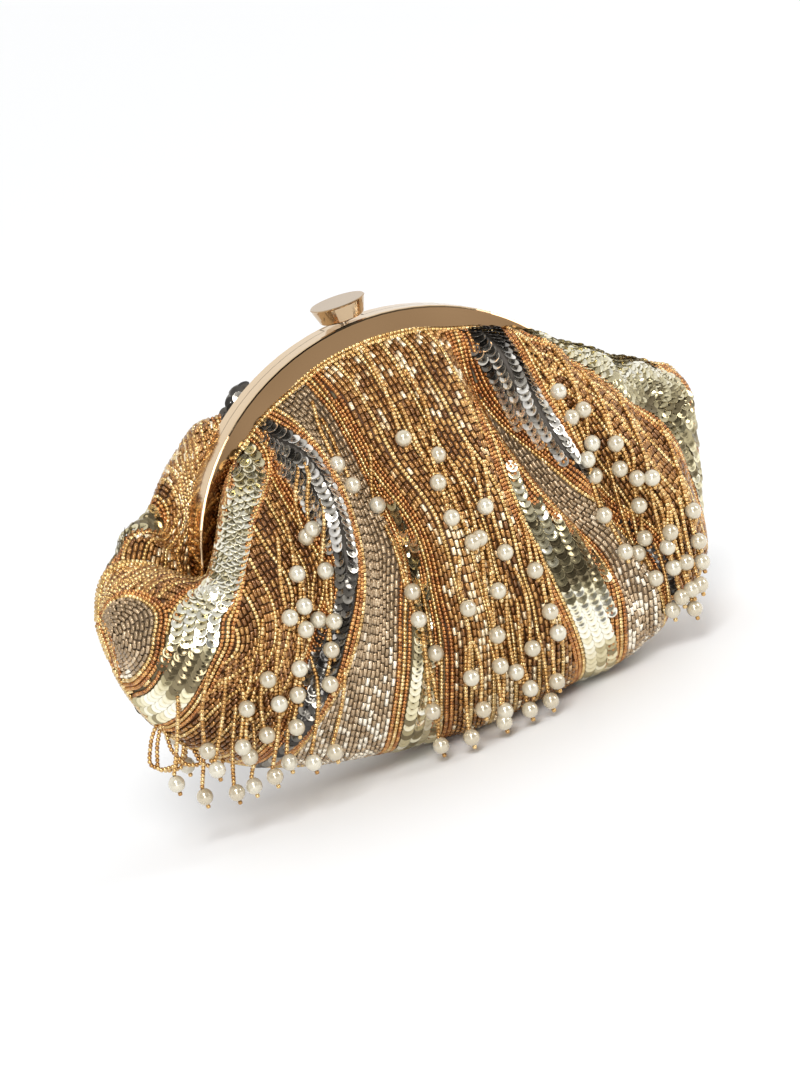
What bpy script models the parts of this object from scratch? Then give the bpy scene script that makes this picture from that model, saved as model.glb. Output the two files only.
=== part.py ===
"""Evening bag: a gathered, beaded pouch on an arched, hinged metal frame with a press-button clasp.

Every size below is in millimetres, and to_metres() is the only place where they become metres.
+X is the wearer's right-hand side of the front view, -Y is the front, +Z is up.
The origin is on the surface that the bag stands on, under the middle of the pouch.
"""

import math

import bmesh
import bpy
from mathutils import Matrix, Vector

TO_METRES = 0.001

# Frame: two channels bent to the same half ellipse, hinged at its two feet.
FRAME_HALF_WIDTH = 82.0
FRAME_RISE = 73.0
HINGE_Z = 80.0
FRAME_HALF_DEPTH = 6.5
FACE_WIDTH = 9.0
INNER_FLANGE_WIDTH = 7.0
FACE_SHEET = 0.8
WEB_SHEET = 0.8
INNER_SHEET = 1.0
PARTING_GAP = 0.15
EDGE_ROUND = 0.8
ARCH_STEPS = 40
APEX_Z = HINGE_Z + FRAME_RISE
CHANNEL_FOOT_HEIGHT = 5.2

# Hinge at each foot: front ear outside, washer, rear ear inside, and one rivet through all three.
EAR_RADIUS = 4.5
PIN_RADIUS = 1.4
PIN_HOLE_RADIUS = 1.8
FRONT_EAR = (81.05, 82.2)
WASHER = (80.1, 80.75)
REAR_EAR = (78.6, 79.8)
OUTER_HEAD = (82.5, 83.9)
INNER_HEAD = (77.4, 78.3)

# Clasp: a drum knob on a sprung stem that carries the latch.
KNOB_TOP_RADIUS = 10.0
KNOB_FOOT_RADIUS = 8.0
KNOB_HEIGHT = 6.2
KNOB_GAP = 1.5
STEM_RADIUS = 1.5
STEM_HOLE_RADIUS = 1.9
TONGUE_HALF_WIDTH = 8.0
TONGUE_REACH = 4.3

# Pouch: outline and sections are superellipses about the hinge line.
POUCH_HALF_WIDTH = 118.0
POUCH_HALF_DEPTH = 40.0
POUCH_DEPTH_BELOW_HINGE = 81.5
PLAN_POWER = 2.5
OUTLINE_POWER = 2.3
SECTION_POWER = 2.6
SHELL = 1.8
LINING = 0.8
LAYER_GAP = 0.5
UPPER_INSET = 4.6
UPPER_HALF_WIDTH = 110.0
SHOULDER_START = 84.6
TUCK_EDGE = 68.0

GOLD = ("pale_gold_metal", (0.83, 0.62, 0.42), 0.18, 1.0)
STEEL = ("plated_steel", (0.72, 0.66, 0.58), 0.3, 1.0)
BEADED = ("beaded_fabric", (0.62, 0.38, 0.18), 0.4, 0.3)
FRINGE = ("bead_fringe", (0.78, 0.58, 0.32), 0.35, 0.3)
PIPING = ("copper_piping", (0.66, 0.36, 0.16), 0.35, 0.4)
SATIN = ("satin_lining", (0.66, 0.52, 0.36), 0.5, 0.0)
CARD = ("base_card", (0.45, 0.38, 0.3), 0.8, 0.0)
PAPER = ("paper_cord", (0.7, 0.6, 0.45), 0.9, 0.0)


def clear_scene():
    for obj in list(bpy.data.objects):
        bpy.data.objects.remove(obj)


def material_of(look):
    name, colour, roughness, metallic = look
    material = bpy.data.materials.get(name)
    if material is None:
        material = bpy.data.materials.new(name)
        material.use_nodes = True
        shader = material.node_tree.nodes["Principled BSDF"]
        shader.inputs["Base Color"].default_value = (*colour, 1.0)
        shader.inputs["Roughness"].default_value = roughness
        shader.inputs["Metallic"].default_value = metallic
    return material


def to_metres(point):
    return Vector(point) * TO_METRES


def add_object(name, points, faces, look, origin=(0.0, 0.0, 0.0), smooth_angle=35.0):
    """A mesh object from points in millimetres, with its own origin at the given point."""
    mesh = bpy.data.meshes.new(name)
    base = Vector(origin)
    mesh.from_pydata([to_metres(Vector(p) - base) for p in points], [], faces)
    mesh.update()
    fix = bmesh.new()
    fix.from_mesh(mesh)
    bmesh.ops.recalc_face_normals(fix, faces=fix.faces)
    if fix.calc_volume(signed=True) < 0:
        bmesh.ops.reverse_faces(fix, faces=fix.faces)
    fix.to_mesh(mesh)
    fix.free()
    mesh.shade_smooth()
    mesh.set_sharp_from_angle(angle=math.radians(smooth_angle))
    mesh.materials.append(material_of(look))
    obj = bpy.data.objects.new(name, mesh)
    obj.location = to_metres(base)
    bpy.context.scene.collection.objects.link(obj)
    return obj


def boolean(target, other, operation):
    """Applies a Boolean to target's own mesh and removes the other object."""
    modifier = target.modifiers.new(operation.title(), "BOOLEAN")
    modifier.operation = operation
    modifier.solver = "EXACT"
    modifier.object = other
    bpy.context.view_layer.update()
    graph = bpy.context.evaluated_depsgraph_get()
    made = bpy.data.meshes.new_from_object(target.evaluated_get(graph))
    target.modifiers.clear()
    target.data = made
    bpy.data.objects.remove(other)


def box(name, low, high, look=STEEL):
    """A closed block between two corners."""
    points = [(x, y, z) for x in (low[0], high[0]) for y in (low[1], high[1]) for z in (low[2], high[2])]
    faces = [(0, 1, 3, 2), (4, 6, 7, 5), (0, 4, 5, 1), (2, 3, 7, 6), (0, 2, 6, 4), (1, 5, 7, 3)]
    return add_object(name, points, faces, look)


def loft(rings, closed_ends=True):
    """Points and faces of a tube through rings of equal point count."""
    count = len(rings[0])
    points = [p for ring in rings for p in ring]
    faces = []
    for i in range(len(rings) - 1):
        for j in range(count):
            k = (j + 1) % count
            faces.append((i * count + j, i * count + k, (i + 1) * count + k, (i + 1) * count + j))
    if closed_ends:
        faces.append(tuple(range(count))[::-1])
        last = (len(rings) - 1) * count
        faces.append(tuple(range(last, last + count)))
    return points, faces


def lathe(name, profile, look, axis="Z", centre=(0.0, 0.0, 0.0), steps=32):
    """A closed profile of (radius, height) pairs turned about an axis; radius 0 makes a point on it."""
    points, rows = [], []
    for radius, height in profile:
        turns = 1 if radius == 0 else steps
        row = []
        for k in range(turns):
            angle = 2 * math.pi * k / steps
            across = (radius * math.cos(angle), radius * math.sin(angle))
            local = (height, *across) if axis == "X" else (*across, height)
            row.append(len(points))
            points.append(Vector(local) + Vector(centre))
        rows.append(row)
    faces = []
    for i, row in enumerate(rows):
        after = rows[(i + 1) % len(rows)]
        for k in range(steps):
            n = (k + 1) % steps
            if len(row) == 1 and len(after) == 1:
                continue
            if len(row) == 1:
                faces.append((row[0], after[n], after[k]))
            elif len(after) == 1:
                faces.append((row[k], row[n], after[0]))
            else:
                faces.append((row[k], row[n], after[n], after[k]))
    return add_object(name, points, faces, look, origin=centre)


def tube(name, path, radius, look, sides=8):
    """A closed round tube along a list of points."""
    centres = [Vector(p) for p in path]
    rings = []
    side = None
    for i, centre in enumerate(centres):
        ahead = (centres[min(i + 1, len(centres) - 1)] - centres[max(i - 1, 0)]).normalized()
        if side is None:
            side = ahead.orthogonal().normalized()
        side = (side - ahead * side.dot(ahead)).normalized()
        other = ahead.cross(side)
        angles = [2 * math.pi * k / sides for k in range(sides)]
        rings.append([centre + radius * (side * math.cos(a) + other * math.sin(a)) for a in angles])
    points, faces = loft(rings)
    return add_object(name, points, faces, look)


def sheet(name, columns, thickness, look):
    """A skin through columns of points, thickened inwards from the outer face that they describe."""
    rows = len(columns[0])
    points = [p for column in columns for p in column]
    faces = []
    for i in range(len(columns) - 1):
        for j in range(rows - 1):
            a = i * rows + j
            faces.append((a, a + rows, a + rows + 1, a + 1))
    obj = add_object(name, points, faces, look, smooth_angle=50.0)
    skin = obj.data
    middle = skin.polygons[len(skin.polygons) // 2]
    if middle.normal.dot(middle.center - to_metres((0.0, 0.0, HINGE_Z))) < 0:
        skin.flip_normals()
    solidify = obj.modifiers.new("Solidify", "SOLIDIFY")
    solidify.thickness = thickness * TO_METRES
    solidify.offset = -1.0
    solidify.use_rim = True
    solidify.use_even_offset = False
    return obj


def arch_point(angle, inset, depth):
    """A point of the frame's arch: angle from the apex in radians, inset along its inward normal, depth along Y."""
    x, z = FRAME_HALF_WIDTH * math.sin(angle), FRAME_RISE * math.cos(angle)
    normal = Vector((x / FRAME_HALF_WIDTH**2, z / FRAME_RISE**2)).normalized()
    return Vector((x - inset * normal.x, depth, HINGE_Z + z - inset * normal.y))


def sweep_arch(name, section, start, end, steps, look=GOLD):
    """A closed section of (inset, depth) pairs swept along the arch between two angles."""
    rings = []
    for i in range(steps + 1):
        angle = start + (end - start) * i / steps
        rings.append([arch_point(angle, inset, depth) for inset, depth in section])
    points, faces = loft(rings)
    return add_object(name, points, faces, look)


def channel_section(side):
    """The U of one frame half; side is -1 for the front half and +1 for the rear one."""
    face, web = FRAME_HALF_DEPTH, WEB_SHEET
    outline = [
        (0.0, PARTING_GAP),
        (0.0, face - EDGE_ROUND),
        (0.3 * EDGE_ROUND, face - 0.3 * EDGE_ROUND),
        (EDGE_ROUND, face),
        (FACE_WIDTH - 0.3, face),
        (FACE_WIDTH, face - FACE_SHEET / 2),
        (FACE_WIDTH - 0.3, face - FACE_SHEET),
        (web, face - FACE_SHEET),
        (web, PARTING_GAP + INNER_SHEET),
        (INNER_FLANGE_WIDTH, PARTING_GAP + INNER_SHEET),
        (INNER_FLANGE_WIDTH, PARTING_GAP),
    ]
    return [(inset, side * depth) for inset, depth in outline]


def foot_angle():
    return math.acos(CHANNEL_FOOT_HEIGHT / FRAME_RISE)


def ear_plate(span, side, mirror, neck_top):
    """One hinge ear: a round plate with a neck that runs up into the foot of the channel."""
    outline = []
    for k in range(24):
        angle = 2 * math.pi * (k + 0.5) / 24
        outline.append((EAR_RADIUS * math.cos(angle), EAR_RADIUS * math.sin(angle)))
    outline = [p for p in outline if not (p[1] > 0.0 and p[0] < -0.45)]
    split = next(k for k, p in enumerate(outline) if p[0] < -0.45)
    outline[split:split] = [(-0.4, 4.6), (-0.62, neck_top), (-4.2, neck_top), (-4.44, 0.0)]
    rings = []
    for x in sorted(mirror * x for x in span):
        rings.append([Vector((x, -side * y, HINGE_Z + z)) for y, z in outline])
    points, faces = loft(rings)
    return add_object("ear", points, faces, GOLD)


def add_ears(frame, span, side, neck_top, joggle=None):
    """Joins a hinge ear to each foot of a frame half, with a step where the ear sits inside the channel."""
    near, far = sorted((side * 0.4, side * 4.1))
    for mirror in (-1, 1):
        ear = ear_plate(span, side, mirror, neck_top)
        if joggle:
            low_x, high_x = sorted(mirror * x for x in joggle)
            step = box("step", (low_x, near, HINGE_Z + 5.6), (high_x, far, HINGE_Z + 9.6))
            boolean(ear, step, "UNION")
        reach = sorted((mirror * (span[0] - 3.0), mirror * (span[1] + 3.0)))
        drill = [(0.0, reach[0]), (PIN_HOLE_RADIUS, reach[0]), (PIN_HOLE_RADIUS, reach[1]), (0.0, reach[1])]
        hole = lathe("hole", drill, STEEL, axis="X", centre=(0.0, 0.0, HINGE_Z), steps=16)
        boolean(ear, hole, "DIFFERENCE")
        boolean(frame, ear, "UNION")


def finish_metal(frame):
    frame.data.shade_smooth()
    frame.data.set_sharp_from_angle(angle=math.radians(30))


def build_front_frame():
    """Front channel, with the tongue under the knob and the two outer hinge ears."""
    frame = sweep_arch("front_frame", channel_section(-1), -foot_angle(), foot_angle(), ARCH_STEPS)
    add_ears(frame, FRONT_EAR, -1, 8.0)
    half = TONGUE_HALF_WIDTH
    notch = box("notch", (-half, -1.6, APEX_Z - 12), (half, 1.0, APEX_Z - 0.95))
    boolean(frame, notch, "DIFFERENCE")
    low, high = 0.12, WEB_SHEET + 0.1
    tongue = [(low, -2.5), (low, TONGUE_REACH), (high, TONGUE_REACH), (high, -2.5)]
    reach = math.asin((half - 0.4) / FRAME_HALF_WIDTH)
    boolean(frame, sweep_arch("tongue", tongue, -reach, reach, 6), "UNION")
    drill = [(0.0, APEX_Z - 4), (STEM_HOLE_RADIUS, APEX_Z - 4), (STEM_HOLE_RADIUS, APEX_Z + 2), (0.0, APEX_Z + 2)]
    boolean(frame, lathe("drill", drill, STEEL, steps=20), "DIFFERENCE")
    finish_metal(frame)
    return frame


def build_rear_frame():
    """Rear channel, notched for the tongue and the latch, with the two inner hinge ears."""
    frame = sweep_arch("rear_frame", channel_section(1), -foot_angle(), foot_angle(), ARCH_STEPS)
    add_ears(frame, REAR_EAR, 1, 10.0, joggle=(REAR_EAR[0] + 0.4, 81.35))
    half = TONGUE_HALF_WIDTH
    notch = box("notch", (-half, -1.0, APEX_Z - 12), (half, TONGUE_REACH + 0.3, APEX_Z + 2))
    boolean(frame, notch, "DIFFERENCE")
    finish_metal(frame)
    return frame


def build_hinge(side_name, mirror):
    """Rivet with two heads, and the washer between the ears."""
    outer, inner = OUTER_HEAD, INNER_HEAD
    profile = [
        (0.0, inner[0]),
        (2.0, inner[0]),
        (2.4, inner[0] + 0.4),
        (2.4, inner[1]),
        (PIN_RADIUS, inner[1]),
        (PIN_RADIUS, outer[0]),
        (2.9, outer[0]),
        (2.9, outer[0] + 0.4),
        (2.1, outer[1]),
        (0.0, outer[1]),
    ]
    centre = (0.0, 0.0, HINGE_Z)
    mirrored = [(radius, mirror * x) for radius, x in profile]
    lathe(f"hinge_pin_{side_name}", mirrored, GOLD, axis="X", centre=centre, steps=24)
    ring = [(PIN_HOLE_RADIUS, WASHER[0]), (3.6, WASHER[0]), (3.6, WASHER[1]), (PIN_HOLE_RADIUS, WASHER[1])]
    washer = [(radius, mirror * x) for radius, x in ring]
    lathe(f"hinge_washer_{side_name}", washer, STEEL, axis="X", centre=centre, steps=24)


def build_clasp():
    """Knob, stem, latch and clip, which move together, with the housing and spring that stay on the front half."""
    foot = APEX_Z + KNOB_GAP
    top = foot + KNOB_HEIGHT
    bore, bore_top = STEM_RADIUS + 0.3, foot + 3.0
    knob = [
        (bore, foot),
        (KNOB_FOOT_RADIUS - 0.5, foot),
        (KNOB_FOOT_RADIUS, foot + 0.4),
        (KNOB_TOP_RADIUS - 0.2, top - 0.7),
        (KNOB_TOP_RADIUS, top - 0.3),
        (KNOB_TOP_RADIUS - 0.3, top),
        (0.0, top),
        (0.0, bore_top),
        (bore, bore_top),
    ]
    lathe("clasp_knob", knob, GOLD, steps=48)
    collar_top = APEX_Z - 1.3
    stem = [
        (0.0, APEX_Z - 7.8),
        (0.9, APEX_Z - 7.8),
        (0.9, APEX_Z - 6.0),
        (STEM_RADIUS, APEX_Z - 6.0),
        (STEM_RADIUS, collar_top - 0.6),
        (2.5, collar_top - 0.6),
        (2.5, collar_top),
        (STEM_RADIUS, collar_top),
        (STEM_RADIUS, bore_top - 0.3),
        (0.0, bore_top - 0.3),
    ]
    lathe("clasp_stem", stem, STEEL, steps=24)
    floor_low, floor_high, wall_top = APEX_Z - 5.7, APEX_Z - 5.2, APEX_Z - 1.1
    housing = [
        (STEM_HOLE_RADIUS, floor_low),
        (3.35, floor_low),
        (3.35, wall_top),
        (2.85, wall_top),
        (2.85, floor_high),
        (STEM_HOLE_RADIUS, floor_high),
    ]
    lathe("clasp_housing", housing, STEEL, steps=28)
    build_spring(floor_high + 0.3, collar_top - 0.9)
    build_latch()


def build_spring(low, high):
    """Return spring: a helix of round wire around the stem, between the housing's floor and the stem's collar."""
    wire, radius, turns, per_turn = 0.2, 2.2, 2.6, 12
    count = int(turns * per_turn)
    path = []
    for i in range(count + 1):
        angle = 2 * math.pi * turns * i / count
        height = low + wire + (high - low - 2 * wire) * i / count
        path.append((radius * math.cos(angle), radius * math.sin(angle), height))
    tube("clasp_spring", path, wire, STEEL, sides=6)


def build_latch():
    """Latch bar with its barb on the stem, the clip under it, and the catch inside the rear half."""
    bar_low, bar_high = APEX_Z - 6.9, APEX_Z - 6.2
    latch = box("latch_plate", (-3.0, -3.0, bar_low), (3.0, 5.4, bar_high))
    barb = box("barb", (-3.0, 4.7, bar_low + 0.2), (3.0, 5.4, bar_high + 1.4))
    boolean(latch, barb, "UNION")
    drill = [(0.0, bar_low - 1), (1.2, bar_low - 1), (1.2, bar_high + 1), (0.0, bar_high + 1)]
    boolean(latch, lathe("drill", drill, STEEL, steps=16), "DIFFERENCE")
    clip = [(1.2, bar_low - 0.8), (2.0, bar_low - 0.8), (2.0, bar_low - 0.3), (1.2, bar_low - 0.3)]
    lathe("stem_clip", clip, STEEL, steps=20)
    lip_low, leg_low, leg_high = APEX_Z - 4.5, APEX_Z - 3.8, APEX_Z - 3.0
    catch = box("catch_plate", (-4.0, 3.65, leg_low), (4.0, 5.4, leg_high))
    boolean(catch, box("lip", (-4.0, 3.65, lip_low), (4.0, 4.4, leg_high - 0.2)), "UNION")


def power_curve(share, power):
    """Height at a share 0..1 along the base of a superellipse quarter of unit size."""
    return (1.0 - min(abs(share), 1.0) ** power) ** (1.0 / power)


def frame_opening(x):
    """Height above the hinge of the face flange's inner edge at x."""
    half, rise = FRAME_HALF_WIDTH - FACE_WIDTH, FRAME_RISE - FACE_WIDTH
    return rise * math.sqrt(max(0.0, 1.0 - (x / half) ** 2))


def spread_x(half_width, count, reach=0.998):
    """Columns across the width, closer together towards the two ends."""
    return [half_width * reach * math.sin(math.pi * (i / (count - 1) - 0.5)) for i in range(count)]


def lower_column(x, side, inset, angles):
    """Outer face of the lower pouch at x, from the hinge level down to the bottom seam."""
    share = x / (POUCH_HALF_WIDTH - inset)
    depth = (POUCH_HALF_DEPTH - inset) * power_curve(share, PLAN_POWER)
    drop = (POUCH_DEPTH_BELOW_HINGE - inset) * power_curve(share, OUTLINE_POWER)
    column = []
    for angle in angles:
        y = depth * math.cos(angle) ** (2 / SECTION_POWER)
        z = HINGE_Z - drop * math.sin(angle) ** (2 / SECTION_POWER)
        column.append(Vector((x, side * max(y, 0.4), max(z, 0.0))))
    return column


def steps_between(start, end, count):
    return [math.radians(start + (end - start) * i / (count - 1)) for i in range(count)]


def build_lower_panel(name, side):
    angles = steps_between(0, 90, 12)
    columns = [lower_column(x, side, 0.0, angles) for x in spread_x(POUCH_HALF_WIDTH, 29)]
    for column in columns:
        column[0].z -= 0.3
    sheet(name, columns, SHELL, BEADED)


def build_lower_lining():
    """One satin bowl inside both lower panels, clear of the card under it."""
    inset = SHELL + LAYER_GAP
    lift = 3.0
    front = steps_between(0, 88, 9)
    columns = []
    for x in spread_x(POUCH_HALF_WIDTH - inset - 2.0, 25, 0.985):
        column = lower_column(x, -1, inset + 0.4, front)
        column += [Vector((p.x, -p.y, p.z)) for p in reversed(column)]
        for point in column:
            below = (HINGE_Z - point.z) / POUCH_DEPTH_BELOW_HINGE
            point.z += lift * below - 0.6 * (1 - below)
        columns.append(column)
    sheet("lining_lower", columns, LINING, SATIN)


def panel_depth(x, inset):
    """Depth of the upper pouch at the hinge level: it turns inside the lower pouch as the frame opens."""
    return (POUCH_HALF_DEPTH - UPPER_INSET) * power_curve(x / UPPER_HALF_WIDTH, PLAN_POWER) - inset


def bezier(points, share):
    while len(points) > 1:
        points = [a.lerp(b, share) for a, b in zip(points, points[1:])]
    return points[0]


def upper_column(x, side, rows):
    """Outer face of an upper panel at x, from the hinge level to the frame, or to the shoulder ridge beyond it."""
    reach = panel_depth(x, 0.0)
    if abs(x) > SHOULDER_START + 1.5:
        arc = [math.radians(88.5 * j / rows) for j in range(rows + 1)]
        flat = [Vector((reach * math.cos(a), max(0.4, reach * math.sin(a)))) for a in arc]
        flat[-1] = Vector((0.4, reach))
        return [Vector((x, side * max(p.x, 0.4), HINGE_Z + p.y)) for p in flat]
    if abs(x) > TUCK_EDGE:
        # Past the tuck the panel comes out below the face's edge, then covers the foot of the frame.
        share = (abs(x) - TUCK_EDGE) / (SHOULDER_START - TUCK_EDGE)
        depth = 6.0 if abs(x) < TUCK_EDGE + 1.5 else 9.0
        top = Vector((depth, 14.0 + 12.0 * min(share, 1.0) ** 1.5))
        tucked = top
    else:
        top = Vector((5.3, frame_opening(x) - 1.2))
        tuck = 2.0 - 1.7 * math.exp(-((x / 9.0) ** 2))
        tucked = Vector((5.3, top.y + 1.2 + tuck))
    across = min(reach, 12.0)
    hull = [
        Vector((reach, 0.4)),
        Vector((reach, 0.25 * top.y)),
        Vector((max(across, top.x), 0.7 * top.y)),
        top,
    ]
    flat = [bezier(hull, j / (rows - 1)) for j in range(rows)] + [tucked]
    if tucked == top:
        flat[-1] = top + Vector((0.0, 1.0))
    return [Vector((x, side * p.x, HINGE_Z + p.y)) for p in flat]


def build_upper_panel(name, side):
    inner = [TUCK_EDGE * i / 12 for i in range(-12, 13)]
    outer = [69.0, 70.0, 71.5, 75.0, 79.0, 82.0, SHOULDER_START, 87.0, 92.0, 98.0, 103.0, 107.0]
    outer.append(0.997 * UPPER_HALF_WIDTH)
    stations = [-x for x in reversed(outer)] + inner + outer
    sheet(name, [upper_column(x, side, 9) for x in stations], SHELL, BEADED)


def build_upper_lining(name, side):
    """Satin behind the upper panel, between the feet of the frame."""
    columns = []
    span = 64.0
    for i in range(21):
        x = span * (i / 10 - 1)
        column = upper_column(x, side, 9)[:-1]
        top = column[-1]
        inset = SHELL + LAYER_GAP + 0.3 + 2.8 * (x / span) ** 4
        for point in column:
            point.y = side * max(abs(point.y) - inset, 1.5)
            point.z = HINGE_Z + 1.0 + (point.z - HINGE_Z) * (top.z - HINGE_Z - 2.0) / (top.z - HINGE_Z)
        columns.append(column)
    sheet(name, columns, LINING, SATIN)


def build_pocket():
    """Open-topped slip pocket on the inside of the rear lining."""
    angles = steps_between(14, 46, 7)
    inset = SHELL + LAYER_GAP + LINING + 2.2
    columns = [lower_column(35.0 * (i / 7 - 1), 1, inset, angles) for i in range(15)]
    sheet("slip_pocket", columns, LINING, SATIN)


def build_base_card():
    card = box("base_card", (-26.0, -9.0, 2.9), (26.0, 9.0, 3.7), CARD)
    bevel = card.modifiers.new("Bevel", "BEVEL")
    bevel.width = 0.3 * TO_METRES
    bevel.segments = 1


def build_piping(side_name, mirror):
    """Beaded edge that covers the side seam, from the hinge level round the lower corner."""
    path = []
    for angle in steps_between(3, 58, 22):
        x = (POUCH_HALF_WIDTH + 1.9) * math.cos(angle) ** (2 / OUTLINE_POWER)
        z = HINGE_Z - (POUCH_DEPTH_BELOW_HINGE + 1.9) * math.sin(angle) ** (2 / OUTLINE_POWER)
        path.append((mirror * x, 0.0, z))
    tube(f"side_piping_{side_name}", path, 1.2, PIPING)


def build_fringe(name, side, low_x, high_x, end_angle):
    """The lower hang of one bunch of bead strands, as one plain skin just clear of the panel."""
    angles = steps_between(5, end_angle, 8)
    stand_off = 3.4
    columns = []
    for i in range(10):
        x = low_x + (high_x - low_x) * i / 9
        columns.append(lower_column(x, side, -stand_off, angles))
    sheet(name, columns, 2.4, FRINGE)


def build_cord(name, side, start, end):
    """Paper cord that packs the hem into the channel."""
    path = []
    for i in range(17):
        angle = math.radians(start + (end - start) * i / 16)
        path.append(arch_point(angle, 3.4, side * 3.2))
    tube(name, path, 1.1, PAPER)


def build():
    clear_scene()
    build_front_frame()
    build_rear_frame()
    build_clasp()
    for side_name, mirror in (("left", -1), ("right", 1)):
        build_hinge(side_name, mirror)
        build_piping(side_name, mirror)
    for face_name, side in (("front", -1), ("rear", 1)):
        build_lower_panel(f"{face_name}_panel_lower", side)
        build_upper_panel(f"{face_name}_panel_upper", side)
        build_upper_lining(f"{face_name}_lining_upper", side)
        build_cord(f"{face_name}_cord_left", side, -80, -9)
        build_cord(f"{face_name}_cord_right", side, 9, 80)
        build_fringe(f"{face_name}_fringe_left", side, -96, -52, 44)
        build_fringe(f"{face_name}_fringe_middle", side, -24, 24, 50)
        build_fringe(f"{face_name}_fringe_right", side, 52, 96, 44)
    build_lower_lining()
    build_pocket()
    build_base_card()


build()
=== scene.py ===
"""Looks of the evening bag: gathered cloth covered in beads and sequins, fringe, metal frame and lining.

"v" runs from 0, where the cloth leaves the frame, to 1, the seam at the bottom; "out" is the distance in
front of the middle plane.
"""

import math

import bpy
import numpy as np
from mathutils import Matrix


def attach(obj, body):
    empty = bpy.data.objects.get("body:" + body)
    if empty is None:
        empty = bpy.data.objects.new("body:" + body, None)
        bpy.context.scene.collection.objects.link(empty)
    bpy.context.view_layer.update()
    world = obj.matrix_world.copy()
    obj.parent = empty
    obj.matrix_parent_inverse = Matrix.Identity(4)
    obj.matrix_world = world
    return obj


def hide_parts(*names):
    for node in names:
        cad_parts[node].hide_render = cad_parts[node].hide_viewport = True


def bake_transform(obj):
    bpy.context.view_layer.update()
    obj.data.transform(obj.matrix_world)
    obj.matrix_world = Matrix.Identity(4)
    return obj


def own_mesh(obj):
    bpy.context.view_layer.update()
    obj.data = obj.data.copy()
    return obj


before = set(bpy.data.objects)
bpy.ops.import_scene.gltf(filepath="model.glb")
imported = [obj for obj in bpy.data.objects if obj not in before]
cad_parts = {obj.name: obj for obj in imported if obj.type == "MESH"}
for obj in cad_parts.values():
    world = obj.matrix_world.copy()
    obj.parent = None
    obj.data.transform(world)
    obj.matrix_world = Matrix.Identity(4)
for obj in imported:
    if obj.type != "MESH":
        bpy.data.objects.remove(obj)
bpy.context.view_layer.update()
MM = 0.001
rng = np.random.default_rng(7)

# ---------------------------------------------------------------- camera
AZIMUTH, ELEVATION, ROLL = math.radians(-19.5), math.radians(15.1), math.radians(18.7)
DISTANCE = 1500.0
LENS, SENSOR = 145.384615, 36.0
AIM = (19.6, -73.6)  # millimetres right of and above the top of the arch, in the picture's plane
APEX = np.array([0.0, 0.0, 153.0])  # the top of the arch


def add_camera():
    sa, ca = math.sin(AZIMUTH), math.cos(AZIMUTH)
    se, ce = math.sin(ELEVATION), math.cos(ELEVATION)
    right = np.array([ca, sa, 0.0])
    back = np.array([sa * ce, -ca * ce, se])
    up = np.cross(back, right)
    cam_right = math.cos(ROLL) * right - math.sin(ROLL) * up
    cam_up = math.sin(ROLL) * right + math.cos(ROLL) * up
    place = APEX + AIM[0] * cam_right + AIM[1] * cam_up + DISTANCE * back
    camera = bpy.data.objects.new("camera", bpy.data.cameras.new("camera"))
    camera.data.sensor_width = SENSOR
    camera.data.lens = LENS
    camera.data.clip_end = 20.0
    matrix = np.eye(4)
    matrix[:3, 0], matrix[:3, 1], matrix[:3, 2] = cam_right, cam_up, back
    matrix[:3, 3] = place * MM
    camera.matrix_world = [list(row) for row in matrix.T]
    bpy.context.scene.collection.objects.link(camera)
    bpy.context.scene.camera = camera


add_camera()


# ---------------------------------------------------------------- meshes
def make_mesh(name, points, quads, material, tint=None):
    """A mesh object from an array of points in millimetres and an array of four-cornered faces."""
    mesh = bpy.data.meshes.new(name)
    points = np.asarray(points, np.float32) * MM
    quads = np.asarray(quads, np.int32)
    corners = quads.shape[1]
    mesh.vertices.add(len(points))
    mesh.vertices.foreach_set("co", points.ravel())
    mesh.loops.add(quads.size)
    mesh.loops.foreach_set("vertex_index", quads.ravel())
    mesh.polygons.add(len(quads))
    mesh.polygons.foreach_set("loop_start", np.arange(len(quads), dtype=np.int32) * corners)
    mesh.polygons.foreach_set("loop_total", np.full(len(quads), corners, np.int32))
    mesh.update(calc_edges=True)
    mesh.polygons.foreach_set("use_smooth", np.ones(len(quads), bool))
    if tint is not None:
        layer = mesh.attributes.new("tint", "FLOAT", "POINT")
        layer.data.foreach_set("value", np.asarray(tint, np.float32))
    mesh.materials.append(material)
    obj = bpy.data.objects.new(name, mesh)
    bpy.context.scene.collection.objects.link(obj)
    return obj


def unit(vectors):
    return vectors / np.maximum(np.linalg.norm(vectors, axis=-1, keepdims=True), 1e-9)


def run_along(points):
    """Distance along a line of points, from its first."""
    return np.concatenate([[0], np.cumsum(np.linalg.norm(np.diff(points, axis=0), axis=1))])


def ring_faces(rings, sides):
    """Faces between each ring of points and the next."""
    faces = []
    for i in range(rings - 1):
        for j in range(sides):
            k = (j + 1) % sides
            faces.append((i * sides + j, (i + 1) * sides + j, (i + 1) * sides + k, i * sides + k))
    return np.array(faces)


def turned(profile, sides):
    """A template turned about its own X axis, from (place along X, radius) pairs, open at both ends."""
    angle = 2 * np.pi * np.arange(sides) / sides
    rings = [np.stack([np.full(sides, x), r * np.cos(angle), r * np.sin(angle)], 1) for x, r in profile]
    return np.concatenate(rings), ring_faces(len(profile), sides)


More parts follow.
